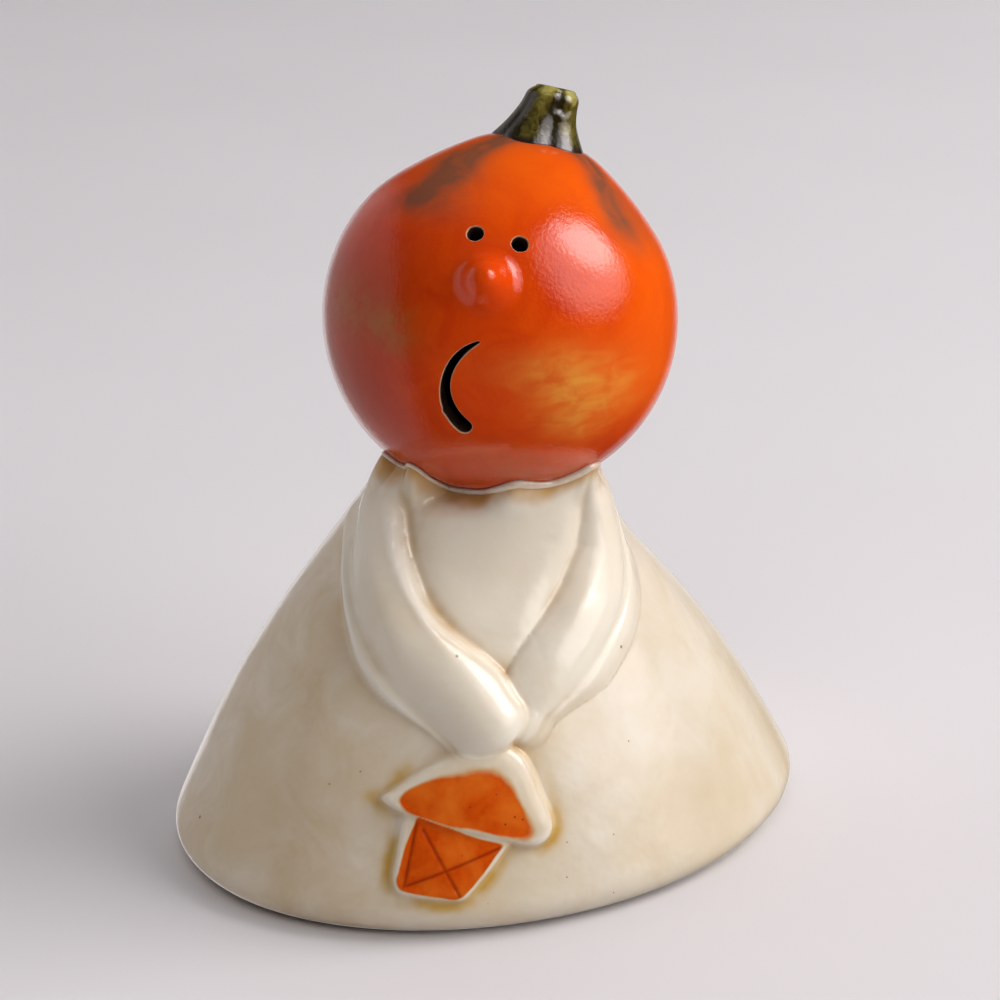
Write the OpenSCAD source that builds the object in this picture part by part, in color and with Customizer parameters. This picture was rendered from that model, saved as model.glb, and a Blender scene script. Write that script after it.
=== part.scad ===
// Ceramic pumpkin figure: a hollow pumpkin head with a pierced face on a hollow bell-shaped
// dress, with two arms in relief that hold a small lantern at the front.
// +Z is up, the front faces -Y, and the origin is the centre of the foot. Sizes are in mm.

/* [Dress] */
// Length of the hem oval
hem_length = 137; // [126:1:144]
// Width of the hem oval
hem_width = 108; // [100:1:114]
// Turn of the hem oval in plan, in degrees
hem_turn = 31; // [20:1:40]
// Height of the widest part of the hem
hem_height = 6; // [5:0.5:7]
// How far the hem curls under to the foot
hem_curl = 7; // [5:0.5:8]
// Height of the point that the flare spreads from
flare_height = 72; // [71:0.5:74]
// Height of the shoulders, where the dress turns in to the neck
shoulder_height = 66; // [62:0.5:68]
// Bulge of the flare beyond a straight cone, as a share of its width
flare_bulge = 0.09; // [0.05:0.01:0.11]
// Wall of the dress, measured level
dress_wall = 4.5; // [4:0.1:5]

/* [Head] */
// Radius of the head
head_radius = 35.6; // [34:0.1:37]
// Height of the seam between the head and the dress
seam_height = 78.7; // [78:0.1:80]
// Radius of the seam between the head and the dress
seam_radius = 20.8; // [20:0.1:21.5]
// Lean of the head towards +X, in degrees
head_roll = 13; // [8:1:16]
// Lean of the head towards the back, in degrees
head_pitch = 12; // [8:1:15]
// Wall of the head
head_wall = 4; // [3.5:0.1:4.5]
// Length of the stem above the head
stem_length = 12; // [10:0.1:13]
// Diameter of the passage between the dress and the head
neck_bore = 22; // [16:0.5:24]

/* [Face] */
// Turn of the face about the head's axis, in degrees
face_turn = -11; // [-20:1:0]
// Distance between the eyes, centre to centre
eye_spacing = 8.8; // [8:0.1:10]
// Height of the eyes above the head's equator, in degrees
eye_rise = 29; // [26:1:32]
// Diameter of each eye hole
eye_diameter = 3.2; // [2.5:0.1:4]
// Height of the nose above the head's equator, in degrees
nose_rise = 14; // [12:1:15]
// How far the nose stands out
nose_length = 5.5; // [4.5:0.1:6.5]
// Radius of the nose at its base
nose_radius = 5.6; // [5:0.1:5.9]
// Drop of the mouth's middle below the head's equator, in degrees
mouth_drop = 19.5; // [18:0.5:21]
// Radius of the mouth's curve
mouth_radius = 10.7; // [9:0.1:11]
// Angle that the mouth's curve sweeps, in degrees
mouth_sweep = 112; // [90:1:120]
// Width of the mouth at its broad lower end
mouth_width = 3.2; // [2.6:0.1:3.6]

/* [Arms] */
// Radius of the arm rolls
arm_radius = 6; // [5:0.1:6.5]
// Radius of the sleeve folds beside the arms
sleeve_radius = 4; // [3.5:0.1:4.5]
// Radius of the slip bead along the neck seam
bead_radius = 0.9; // [0.7:0.1:1.2]

/* [Lantern] */
// Lean of the lantern, in degrees
lantern_lean = 18; // [12:1:22]
// How far the roof stands out of the dress
roof_relief = 3; // [2.5:0.1:3.5]
// How far the case stands out of the dress
case_relief = 2; // [1.6:0.1:2.4]
// Thickness of the orange glaze panels
glaze = 0.5; // [0.4:0.1:0.8]
// Width of the lines scored in the window panel
score_width = 0.7; // [0.5:0.1:1]

/* [Hidden] */

sides = 60;             // sides of each oval of the dress
slice = 0.01;           // thickness of the thin slices that are hulled together
seat_gap = 0.1;         // slip between the head and its seat
cavity_top = 68.5;      // underside of the shoulder inside the dress
dress_lean = [-2.5, 3];          // the shoulders stand this far off the hem's centre
head_offset = [2.5, 3.5];        // the head's centre stands this far off the hem's centre
head_centre = [head_offset.x, head_offset.y, seam_height + sqrt(pow(head_radius, 2) - pow(seam_radius, 2))];
seam_land = 1;          // flat rim of the dress outside the head's seat

hem_steps = 4;
wall_steps = 9;
levels = concat(
    [for (i = [0 : hem_steps]) hem_height * (1 - cos(90 * i / hem_steps))],
    [for (i = [1 : wall_steps]) hem_height + (shoulder_height - hem_height) * i / wall_steps],
    [seam_height]
);

// Routes over the dress: [azimuth from the front towards +X, height, share of the radius]
right_arm_route = [
    [-57, 76, 0.85], [-49, 69.5, 0.9], [-38, 62.5, 0.95], [-28, 56.5, 1],
    [-18.5, 51, 1], [-9.5, 46.5, 1], [-2, 43, 0.95], [4, 40.5, 0.85]
];
left_arm_route = [
    [80, 76, 0.85], [69, 69.5, 0.9], [55, 63, 0.95], [42, 57, 1],
    [30.5, 51.5, 1], [22, 46.5, 0.95], [17, 42, 0.85]
];
right_sleeve_route = [
    [-72, 74, 0.9], [-62, 69, 1], [-49, 62.5, 1], [-39, 56, 1],
    [-30.5, 50, 1], [-22, 44.5, 1], [-14, 40, 0.95], [-7, 37.5, 0.8]
];
left_sleeve_route = [
    [98, 74, 0.9], [85, 67.5, 1], [71, 61, 1], [58, 55.5, 1],
    [46, 50, 1], [35, 45.5, 1], [25, 41, 0.95], [16, 38, 0.8]
];

// Outlines of the lantern, level with its eaves
lantern_pos = [-4.5, 22.5];
roof_outline = [[-17.5, -1], [1, 21], [16.5, 3.5], [14.5, 0.5], [5, -1.7], [-11, -2.2]];
roof_panel_outline = [[-14.3, 0], [-5.5, 8.2], [4, 11.5], [14, 1.5], [6, -0.5], [-11.5, -1.2]];
case_outline = [[-13, -1], [-11.5, -16.5], [-8, -17], [5.5, -13.3], [10.5, -1]];
window_outline = [[-10, -2.5], [-9.5, -15.2], [3.7, -12.5], [8.3, -2.5]];
roof_round = 1.2;
case_round = 0.8;
relief_reach = 30;      // how far an outline is projected back into the dress

stem_flutes = 5;
stem_rings = 8;
cap_rings = 3;
stem_sides = 30;
stem_top_radius = 4.6;
stem_flare = 4.6;       // widening of the stem at its foot
flute_depth = 0.14;     // depth of the flutes, as a share of the radius
dimple_depth = 0.8;     // depth of the hollow in the stem's cut top

bead_steps = 36;
bead_wave = 1.3;        // height of the waves along the seam
bead_waves = 5;
bead_lean = 1.4;        // rise of the seam towards -X

mouth_steps = 12;
cap_steps = 8;
mouth_centre = [mouth_radius - 3.3, 0.8];
mouth_tip_width = 0.5;

// Width of the flare at height z, from 0 where it spreads from to 1 at the hem
function flare(z) =
    let (t = max(0, min(1, (flare_height - z) / (flare_height - hem_height))))
    t + flare_bulge * sin(180 * t);

// Inset of the curled hem at height z
function curl(z) =
    z >= hem_height ? 0 : hem_curl * (1 - sqrt(1 - pow((hem_height - z) / hem_height, 2)));

// Share of the way up the neck at height z, from 0 at the shoulders to 1 at the seam
function neck_share(z) = max(0, z - shoulder_height) / (seam_height - shoulder_height);

// Half of the oval's length or width at height z
function half_oval(size, z) =
    let (k = neck_share(z), wall = min(z, shoulder_height))
    (1 - k) * (seam_radius + (size / 2 - seam_radius) * flare(wall) - curl(wall))
    + k * (seam_radius + seam_land);

// Centre of the oval at height z: the dress leans, and its neck comes back under the head
function dress_centre(z) =
    let (k = neck_share(z), wall = min(z, shoulder_height))
    (1 - k) * dress_lean * (wall - hem_height) / (shoulder_height - hem_height) + k * head_offset;

// Point on the dress at an azimuth from the front and a height
function on_dress(azimuth, z) =
    let (a = half_oval(hem_length, z), b = half_oval(hem_width, z),
         turn = azimuth - 90 - hem_turn,
         r = a * b / norm([b * cos(turn), a * sin(turn)]),
         c = dress_centre(z))
    [c.x + r * sin(azimuth), c.y - r * cos(azimuth), z];

module dress_slice(z, grow) {
    a = half_oval(hem_length, z) + grow;
    b = half_oval(hem_width, z) + grow;
    translate([dress_centre(z).x, dress_centre(z).y, z])
        rotate(hem_turn)
            linear_extrude(slice)
                polygon([for (i = [0 : sides - 1]) [a * cos(360 * i / sides), b * sin(360 * i / sides)]]);
}

// The dress as a solid, made larger or smaller all round by grow
module dress_solid(grow = 0) {
    for (i = [0 : len(levels) - 2])
        hull() {
            dress_slice(levels[i], grow);
            dress_slice(levels[i + 1], grow);
        }
}

// Places children in the head's own frame, with its pole along +Z
module on_head() {
    translate(head_centre) rotate([-head_pitch, head_roll, 0]) children();
}

// Places children on the head with +Z straight out, at an azimuth and a rise above the equator
module at_face(azimuth, rise) {
    on_head() rotate([0, 0, azimuth]) rotate([90 - rise, 0, 0]) children();
}

// The head as a ball, made larger or smaller all round by grow
module head_ball(grow = 0) {
    translate(head_centre) sphere(r = head_radius + grow, $fn = 96);
}

// A chain of rounded links along a route over the dress
module chain(route, radius) {
    for (i = [0 : len(route) - 2])
        hull() for (p = [route[i], route[i + 1]])
            translate(on_dress(p[0], p[1])) sphere(r = radius * p[2], $fn = 20);
}

module right_arm_chain() chain(right_arm_route, arm_radius);
module left_arm_chain() chain(left_arm_route, arm_radius);

// A relief that follows the dress between two heights above its surface
module relief(outline, round_r, low, high) {
    difference() {
        intersection() {
            translate([lantern_pos.x, 0, lantern_pos.y])
                rotate([90, 0, 0])
                    translate([0, 0, relief_reach])
                        linear_extrude(relief_reach * 2)
                            rotate(-lantern_lean)
                                offset(r = round_r, $fn = 24) offset(delta = -round_r) polygon(outline);
            dress_solid(high);
        }
        dress_solid(low);
    }
}

module dress_shell() {
    color([0.9, 0.86, 0.77]) difference() {
        dress_solid();
        translate([0, 0, -slice]) intersection() {
            dress_solid(-dress_wall);
            cylinder(r = hem_length, h = cavity_top);
        }
        translate([head_centre.x, head_centre.y, cavity_top - 1])
            cylinder(d = neck_bore, h = seam_height, $fn = sides);
        head_ball(seat_gap);
    }
}

// Height of the slip bead at an azimuth
function bead_height(azimuth) =
    seam_height + bead_wave * (1 + sin(bead_waves * azimuth)) - bead_lean * sin(azimuth) + bead_lean;

// Point on the head's ball at an azimuth and a height
function on_ball(azimuth, z) =
    let (r = sqrt(pow(head_radius, 2) - pow(head_centre.z - z, 2)))
    [head_centre.x + r * sin(azimuth), head_centre.y - r * cos(azimuth), z];

module bead_link(azimuth) {
    translate(on_ball(azimuth, bead_height(azimuth))) sphere(r = bead_radius, $fn = 10);
    translate(on_ball(azimuth, seam_height)) sphere(r = bead_radius, $fn = 10);
}

module neck_collar() {
    color([0.86, 0.78, 0.62]) difference() {
        for (i = [0 : bead_steps - 1])
            hull() {
                bead_link(360 * i / bead_steps);
                bead_link(360 * (i + 1) / bead_steps);
            }
        dress_solid();
        head_ball(seat_gap);
        right_arm_chain();
        left_arm_chain();
        chain(right_sleeve_route, sleeve_radius);
        chain(left_sleeve_route, sleeve_radius);
    }
}

module eye_hole(azimuth) {
    at_face(azimuth, eye_rise) cylinder(d = eye_diameter, h = head_radius * 2, $fn = 32);
}

// The mouth is a crescent that widens from its upper tip to its round lower end
module mouth_shape() {
    function half_width(t) = (mouth_tip_width + (mouth_width - mouth_tip_width) * t) / 2;
    function along(t) = 180 + mouth_sweep * (t - 0.5);
    function at(r, angle) = r * [cos(angle), sin(angle)];
    translate(mouth_centre) polygon(concat(
        [for (i = [0 : mouth_steps]) let (t = i / mouth_steps)
            at(mouth_radius + half_width(t), along(t))],
        [for (i = [1 : cap_steps - 1])
            at(mouth_radius, along(1)) + at(half_width(1), along(1) + 180 * i / cap_steps)],
        [for (i = [mouth_steps : -1 : 0]) let (t = i / mouth_steps)
            at(mouth_radius - half_width(t), along(t))]
    ));
}

module head_shell() {
    eye_turn = asin(eye_spacing / 2 / (head_radius * cos(eye_rise)));
    color([0.88, 0.30, 0.05]) difference() {
        head_ball();
        head_ball(-head_wall);
        translate([head_centre.x, head_centre.y, 0])
            cylinder(d = neck_bore, h = head_centre.z, $fn = 60);
        eye_hole(face_turn - eye_turn);
        eye_hole(face_turn + eye_turn);
        at_face(face_turn, -mouth_drop)
            linear_extrude(head_radius * 2) mouth_shape();
    }
}

module nose() {
    color([0.88, 0.30, 0.05]) difference() {
        at_face(face_turn, nose_rise) translate([0, 0, head_radius - 2])
            rotate_extrude($fn = 48)
                polygon([for (i = [0 : 12]) [
                    nose_radius * sin(90 * i / 12),
                    (nose_length + 2) * pow(cos(90 * i / 12), 0.8)
                ], [0, 0]]);
        head_ball();
    }
}

// The stem flares at its foot, is fluted all round and has a dimple in its cut top.
// Its rings run out along the head's surface, up the side and in across the dimple.
module stem() {
    foot_r = stem_top_radius + stem_flare;
    ring_total = cap_rings + stem_rings + 1 + cap_rings;
    function flute(j) = 1 - flute_depth * (1 + cos(360 * stem_flutes * j / stem_sides)) / 2;
    function on_ring(r, z, j) =
        [r * cos(360 * j / stem_sides), r * sin(360 * j / stem_sides), z];
    function foot_point(i, j) =
        let (r = foot_r * flute(j) * (i + 1) / (cap_rings + 1))
        on_ring(r, sqrt(pow(head_radius + seat_gap, 2) - r * r), j);
    function side_point(t, j) =
        let (r = (stem_top_radius + stem_flare * pow(1 - t, 1.6)) * flute(j),
             foot = sqrt(pow(head_radius + seat_gap, 2) - pow(foot_r * flute(j), 2)))
        on_ring(r, foot + (head_radius + stem_length - foot) * t, j);
    function dimple_point(i, j) =
        let (share = 1 - (i + 1) / (cap_rings + 1))
        on_ring(stem_top_radius * flute(j) * share,
                head_radius + stem_length - dimple_depth * (1 - share * share), j);
    function stem_point(i, j) =
        i < cap_rings ? foot_point(i, j)
        : i <= cap_rings + stem_rings ? side_point((i - cap_rings) / stem_rings, j)
        : dimple_point(i - cap_rings - stem_rings - 1, j);
    points = [for (i = [0 : ring_total - 1]) for (j = [0 : stem_sides - 1]) stem_point(i, j)];
    faces = concat(
        [[for (j = [0 : stem_sides - 1]) j]],
        [for (i = [0 : ring_total - 2]) for (j = [0 : stem_sides - 1])
            let (k = (j + 1) % stem_sides, low = i * stem_sides, high = low + stem_sides)
            each [[low + j, high + k, low + k], [low + j, high + j, high + k]]],
        [[for (j = [stem_sides - 1 : -1 : 0]) (ring_total - 1) * stem_sides + j]]
    );
    color([0.42, 0.42, 0.16]) on_head() polyhedron(points, faces);
}

module right_arm() {
    color([0.93, 0.89, 0.80]) difference() {
        right_arm_chain();
        dress_solid();
        head_ball(seat_gap);
    }
}

module left_arm() {
    color([0.93, 0.89, 0.80]) difference() {
        left_arm_chain();
        dress_solid();
        head_ball(seat_gap);
        right_arm_chain();
    }
}

module right_sleeve() {
    color([0.87, 0.82, 0.72]) difference() {
        chain(right_sleeve_route, sleeve_radius);
        dress_solid();
        head_ball(seat_gap);
        right_arm_chain();
    }
}

module left_sleeve() {
    color([0.87, 0.82, 0.72]) difference() {
        chain(left_sleeve_route, sleeve_radius);
        dress_solid();
        head_ball(seat_gap);
        left_arm_chain();
        right_arm_chain();
    }
}

// What the arms and the sleeves cover of the lantern
module arms_cover() {
    right_arm_chain();
    left_arm_chain();
    chain(right_sleeve_route, sleeve_radius);
    chain(left_sleeve_route, sleeve_radius);
}

module lantern_roof() {
    color([0.92, 0.86, 0.74]) difference() {
        relief(roof_outline, roof_round, 0, roof_relief);
        arms_cover();
    }
}

module lantern_case() {
    color([0.92, 0.86, 0.74]) difference() {
        relief(case_outline, case_round, 0, case_relief);
        relief(roof_outline, roof_round, -1, roof_relief + 1);
        arms_cover();
    }
}

module roof_panel() {
    color([0.85, 0.28, 0.06]) difference() {
        relief(roof_panel_outline, roof_round, roof_relief, roof_relief + glaze);
        arms_cover();
    }
}

// One line scored between two points of the window
module score(from, to) {
    hull() for (p = [from, to]) translate(p) circle(d = score_width, $fn = 12);
}

module window_panel() {
    color([0.85, 0.28, 0.06]) difference() {
        relief(window_outline, case_round, case_relief, case_relief + glaze);
        relief(roof_outline, roof_round, -1, roof_relief + 1);
        intersection() {
            translate([lantern_pos.x, 0, lantern_pos.y]) rotate([90, 0, 0])
                translate([0, 0, relief_reach]) linear_extrude(relief_reach * 2)
                    rotate(-lantern_lean) {
                        score(window_outline[0], window_outline[2]);
                        score(window_outline[1], window_outline[3]);
                    }
            difference() {
                dress_solid(case_relief + glaze * 2);
                dress_solid(case_relief + glaze / 2);
            }
        }
    }
}

dress_shell();
neck_collar();
head_shell();
stem();
nose();
right_arm();
left_arm();
right_sleeve();
left_sleeve();
lantern_roof();
lantern_case();
roof_panel();
window_panel();
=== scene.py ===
import math

import bpy
import numpy as np
from mathutils import Matrix, Vector


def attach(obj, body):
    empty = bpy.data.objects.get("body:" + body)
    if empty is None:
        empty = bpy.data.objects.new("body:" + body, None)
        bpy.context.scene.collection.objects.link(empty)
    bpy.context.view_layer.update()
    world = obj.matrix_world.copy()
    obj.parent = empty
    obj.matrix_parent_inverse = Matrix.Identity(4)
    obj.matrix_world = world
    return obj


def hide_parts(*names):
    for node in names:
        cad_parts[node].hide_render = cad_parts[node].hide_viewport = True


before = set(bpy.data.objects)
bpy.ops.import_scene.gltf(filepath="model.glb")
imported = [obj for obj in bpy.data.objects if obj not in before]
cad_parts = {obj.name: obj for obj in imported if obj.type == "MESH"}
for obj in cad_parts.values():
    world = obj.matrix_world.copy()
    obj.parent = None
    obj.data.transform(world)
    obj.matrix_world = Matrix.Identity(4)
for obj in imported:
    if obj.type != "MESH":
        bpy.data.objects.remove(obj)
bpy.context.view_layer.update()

# ---- sizes
# Millimetres, in the CAD's frame: +Z up, the front faces -Y. make_mesh turns them into metres.
MM = 0.001
HEM_LENGTH, HEM_WIDTH, HEM_TURN = 137.0, 108.0, math.radians(31)
HEM_HEIGHT, HEM_CURL = 6.0, 7.0
FLARE_HEIGHT, SHOULDER_HEIGHT, FLARE_BULGE = 72.0, 66.0, 0.09
DRESS_WALL = 4.5
HEAD_RADIUS, HEAD_WALL = 35.6, 4.0
SEAM_HEIGHT, SEAM_RADIUS = 78.7, 20.8
HEAD_ROLL, HEAD_PITCH = math.radians(13), math.radians(12)
NECK_RADIUS, CAVITY_TOP = 11.0, 68.5
DRESS_LEAN = np.array([-2.5, 3.0])
HEAD_OFFSET = np.array([2.5, 3.5])
HEAD_CENTRE = np.array([*HEAD_OFFSET, SEAM_HEIGHT + math.sqrt(HEAD_RADIUS**2 - SEAM_RADIUS**2)])
FACE_TURN = math.radians(-11)
EYE_SPACING, EYE_RISE, EYE_RADIUS = 8.8, math.radians(29), 1.6
NOSE_RISE, NOSE_LENGTH, NOSE_RADIUS = math.radians(14.5), 5.3, 4.9
MOUTH_DROP, MOUTH_RADIUS, MOUTH_SWEEP, MOUTH_WIDTH = math.radians(19.5), 10.7, math.radians(112), 3.2
STEM_LENGTH = 12.0
LANTERN_LEAN, LANTERN_POS = math.radians(18), np.array([-4.5, 22.5])
ROOF_RELIEF, CASE_RELIEF, GLAZE, PANEL_DEPTH = 3.0, 2.0, 0.5, 0.14


# ---- small tools
def unit(a):
    return a / np.maximum(np.linalg.norm(a, axis=-1, keepdims=True), 1e-12)


def ramp(x, low, high):
    t = np.clip((x - low) / (high - low), 0, 1)
    return t * t * (3 - 2 * t)


def bell(x, width):
    return np.exp(-((x / width) ** 2))


def way_round(angle):
    """Unit vectors in the plane at the angles."""
    return np.stack([np.cos(angle), np.sin(angle)], -1)


def full_turn(steps):
    return np.linspace(0, 2 * math.pi, steps, endpoint=False)


def half_turn(degrees):
    """The same angle between -180 and 180."""
    return (degrees + 180) % 360 - 180


def soft_max(a, b, k):
    h = np.clip(0.5 + 0.5 * (a - b) / k, 0, 1)
    return b + (a - b) * h + k * h * (1 - h)


def wobble(p, size, seed):
    """Smooth noise from about -1 to 1, with features about size across."""
    rng = np.random.default_rng(seed)
    total = np.zeros(p.shape[:-1])
    for _ in range(7):
        way = unit(rng.normal(size=3)) * rng.uniform(0.7, 1.4) * 2 * math.pi / (2.2 * size)
        total += np.sin(p @ way + rng.uniform(0, 2 * math.pi))
    return total / 4.5


def between(p0, p1, t0, t1, k):
    """The curve from p0 along t0 to p1 along t1, at k from 0 to 1."""
    return (
        p0 * (1 + 2 * k) * (1 - k) ** 2 + p1 * k * k * (3 - 2 * k)
        + t0 * k * (1 - k) ** 2 + t1 * k * k * (k - 1)
    )


def smooth_curve(x, y, at):
    """A smooth curve through the points (x, y), with no overshoot."""
    x, y = np.asarray(x, float), np.asarray(y, float)
    h, d = np.diff(x), np.diff(y) / np.diff(x)
    m = np.zeros(len(x))
    same = d[:-1] * d[1:] > 0
    w1, w2 = 2 * h[1:] + h[:-1], h[1:] + 2 * h[:-1]
    inner = np.zeros(len(d) - 1)
    inner[same] = (w1 + w2)[same] / (w1[same] / d[:-1][same] + w2[same] / d[1:][same])
    m[1:-1] = inner
    m[0], m[-1] = d[0], d[-1]
    at = np.clip(at, x[0], x[-1])
    i = np.clip(np.searchsorted(x, at) - 1, 0, len(d) - 1)
    return between(y[i], y[i + 1], h[i] * m[i], h[i] * m[i + 1], (at - x[i]) / h[i])


# ---- camera, lights, floor
def look_at(obj, target):
    obj.rotation_euler = (Vector(target) - obj.location).to_track_quat("-Z", "Y").to_euler()


camera_data = bpy.data.cameras.new("camera")
camera_data.lens, camera_data.sensor_width = 105.8, 36.0
camera = bpy.data.objects.new("camera", camera_data)
camera.location = (0.00245, -0.55665, 0.29002)
look_at(camera, (0.00245, 0.0035, 0.06803))
bpy.context.scene.collection.objects.link(camera)
bpy.context.scene.camera = camera
bpy.context.scene.view_settings.view_transform = "Standard"


def area_light(name, place, size, power, colour):
    data = bpy.data.lights.new(name, "AREA")
    data.shape, data.size, data.energy, data.color = "DISK", size, power, colour
    light = bpy.data.objects.new(name, data)
    light.location = place
    light.visible_glossy = False
    look_at(light, AIM)
    bpy.context.scene.collection.objects.link(light)


AIM = (0.0, 0.0, 0.08)
area_light("key_light", (1.54, 0.18, 1.35), 1.39, 31.0, (1.0, 0.975, 0.955))
area_light("side_fill", (1.45, -1.0, 0.9), 1.2, 11.5, (1.0, 0.98, 0.96))
area_light("top_fill", (-0.2, -1.0, 1.6), 1.2, 7.2, (1.0, 0.98, 0.95))


class Tree:
    """Short names for making the nodes of a material or of the world."""

    def __init__(self, owner):
        owner.use_nodes = True
        self.tree = owner.node_tree
        self.tree.nodes.clear()

    def add(self, kind, values=(), **settings):
        """A node with its settings, and with values for its sockets, in order or by name."""
        node = self.tree.nodes.new("ShaderNode" + kind)
        for key, value in settings.items():
            setattr(node, key, value)
        for key, value in values.items() if isinstance(values, dict) else enumerate(values):
            self.put(value, node.inputs[key])
        return node

    def put(self, value, socket):
        if isinstance(value, bpy.types.NodeSocket):
            self.tree.links.new(value, socket)
        else:
            socket.default_value = (*value, 1) if socket.type == "RGBA" else value

    def math(self, what, *values):
        return self.add("Math", values, operation=what).outputs[0]

    def times(self, a, b):
        return self.math("MULTIPLY", a, b)

    def plus(self, a, b):
        return self.math("ADD", a, b)

    def scaled(self, x, low, high, to_low=0.0, to_high=1.0, smooth=False):
        kind = "SMOOTHSTEP" if smooth else "LINEAR"
        node = self.add("MapRange", (x, low, high, to_low, to_high), interpolation_type=kind)
        return node.outputs["Result"]


def studio_world():
    """A pale backdrop. The glaze shows soft patches of it, and a softbox at the right."""
    world = bpy.data.worlds.new("studio")
    t = Tree(world)
    place = t.add("TexCoord").outputs["Generated"]

    def backdrop(colour, strength=1.0):
        return t.add("Background", (colour, strength)).outputs[0]

    def facing(way, low, high):
        """0 to 1 as the direction turns to way, between two cosines."""
        dot = t.add("VectorMath", (place, way), operation="DOT_PRODUCT")
        return t.scaled(dot.outputs["Value"], low, high, smooth=True)

    def mixed(*values):
        return t.add("MixShader", values).outputs[0]

    path = t.add("LightPath").outputs
    shine = 0.015
    for way, low, high, strength in (
        ((-0.88, 0.41, -0.24), 0.56, 0.72, 0.44), ((0.77, -0.21, 0.60), 0.81, 0.95, 3.0),
        ((0.72, 0.03, 0.69), 0.925, 0.985, 6.2), ((0.0, 0.92, -0.39), 0.84, 0.97, 0.6),
    ):
        shine = t.math("MULTIPLY_ADD", facing(way, low, high), strength, shine)
    behind = t.math("MULTIPLY_ADD", facing((-0.28, 0.95, 0.0), 0.0, 0.12), 0.62, 0.03)
    light = mixed(path["Is Glossy Ray"], backdrop((1, 0.98, 1), behind), backdrop((1, 0.95, 0.96), shine))
    light = mixed(path["Is Camera Ray"], light, backdrop((0.66, 0.635, 0.66)))
    t.add("OutputWorld", {"Surface": light})
    bpy.context.scene.world = world


studio_world()


# ---- dress surface
# A point on the dress is named by its azimuth from the front towards +X and by its step v up
# the profile: v = -10 at the foot, 0 at the widest part of the hem, 60 at the shoulders and
# 74 at the seam under the head. Up the wall v is the height above the hem.
HEM_STEP, NECK_STEP, SHOULDER_STEP, SEAM_STEP = -10.0, 50.0, SHOULDER_HEIGHT - HEM_HEIGHT, 74.0
TABLE_STEP, EDGE_SOFTNESS = 0.05, 1.4


def softened(values):
    """values with their corners rounded, leaving both ends where they are."""
    n = int(4 * EDGE_SOFTNESS / TABLE_STEP)
    kernel = np.exp(-0.5 * (np.arange(-n, n + 1) * TABLE_STEP / EDGE_SOFTNESS) ** 2)
    return np.convolve(np.pad(values, n, mode="reflect", reflect_type="odd"), kernel / kernel.sum(), "valid")


table_v = np.arange(HEM_STEP, SHOULDER_STEP + 5, TABLE_STEP)
hem_angle = np.clip(table_v / HEM_STEP, 0, 1) * math.pi / 2
table_z = np.where(table_v < 0, HEM_HEIGHT * (1 - np.sin(hem_angle)), HEM_HEIGHT + np.maximum(table_v, 0))
flared = np.clip((FLARE_HEIGHT - table_z) / (FLARE_HEIGHT - HEM_HEIGHT), 0, 1)
table_flare = softened(flared + FLARE_BULGE * np.sin(math.pi * flared))
table_curl = softened(HEM_CURL * (1 - np.cos(hem_angle)))
table_z = softened(table_z)

# Height of the slip bead round the head, and of its even trend: (azimuth in degrees, z)
SEAM_KNOTS = [
    (-165, 79.8), (-140, 80.4), (-118, 79.0), (-96, 78.6), (-80, 79.2), (-70, 80.8), (-62, 82.4),
    (-56, 80.9), (-49, 81.3), (-42, 83.2), (-39.5, 82.6), (-37, 79.6), (-32.5, 77.0), (-26, 76.8),
    (-20, 77.0), (-11, 77.4), (-1, 79.1), (8, 80.9), (14, 80.3), (20, 79.7), (26, 79.5), (31.4, 79.9),
    (39, 81.1), (44, 82.3), (48, 82.2), (53, 80.6), (60, 78.8), (75, 77.6), (92, 77.4), (115, 78.2),
    (140, 80.0),
]
SEAM_TREND = [
    (-165, 79.9), (-118, 79.0), (-85, 79.2), (-50, 80.6), (-10, 79.0), (25, 80.0), (48, 80.6), (85, 77.8),
    (120, 78.4),
]


def ball_point(azimuth, z, grow=0.0):
    r = np.sqrt((HEAD_RADIUS + grow) ** 2 - (HEAD_CENTRE[2] - z) ** 2)
    return np.stack([HEAD_CENTRE[0] + r * np.sin(azimuth), HEAD_CENTRE[1] - r * np.cos(azimuth), z], -1)


def seam_height(azimuth, knots=SEAM_KNOTS):
    k = np.array(knots, float)
    x = np.concatenate([k[:, 0] - 360, k[:, 0], k[:, 0] + 360])
    return smooth_curve(x, np.tile(k[:, 1], 3), half_turn(np.degrees(azimuth)))


def wall_point(azimuth, v, grow=0.0):
    """On the dress below the shoulders."""
    f, c, z = (np.interp(v, table_v, t) for t in (table_flare, table_curl, table_z))
    a, b = (SEAM_RADIUS + (d / 2 - SEAM_RADIUS) * f - c + grow for d in (HEM_LENGTH, HEM_WIDTH))
    turn = azimuth - math.pi / 2 - HEM_TURN
    r = a * b / np.hypot(b * np.cos(turn), a * np.sin(turn))
    lean = (z - HEM_HEIGHT) / (SHOULDER_HEIGHT - HEM_HEIGHT)
    x = DRESS_LEAN[0] * lean + r * np.sin(azimuth)
    y = DRESS_LEAN[1] * lean - r * np.cos(azimuth)
    return np.stack([x, y, z], -1)


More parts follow.
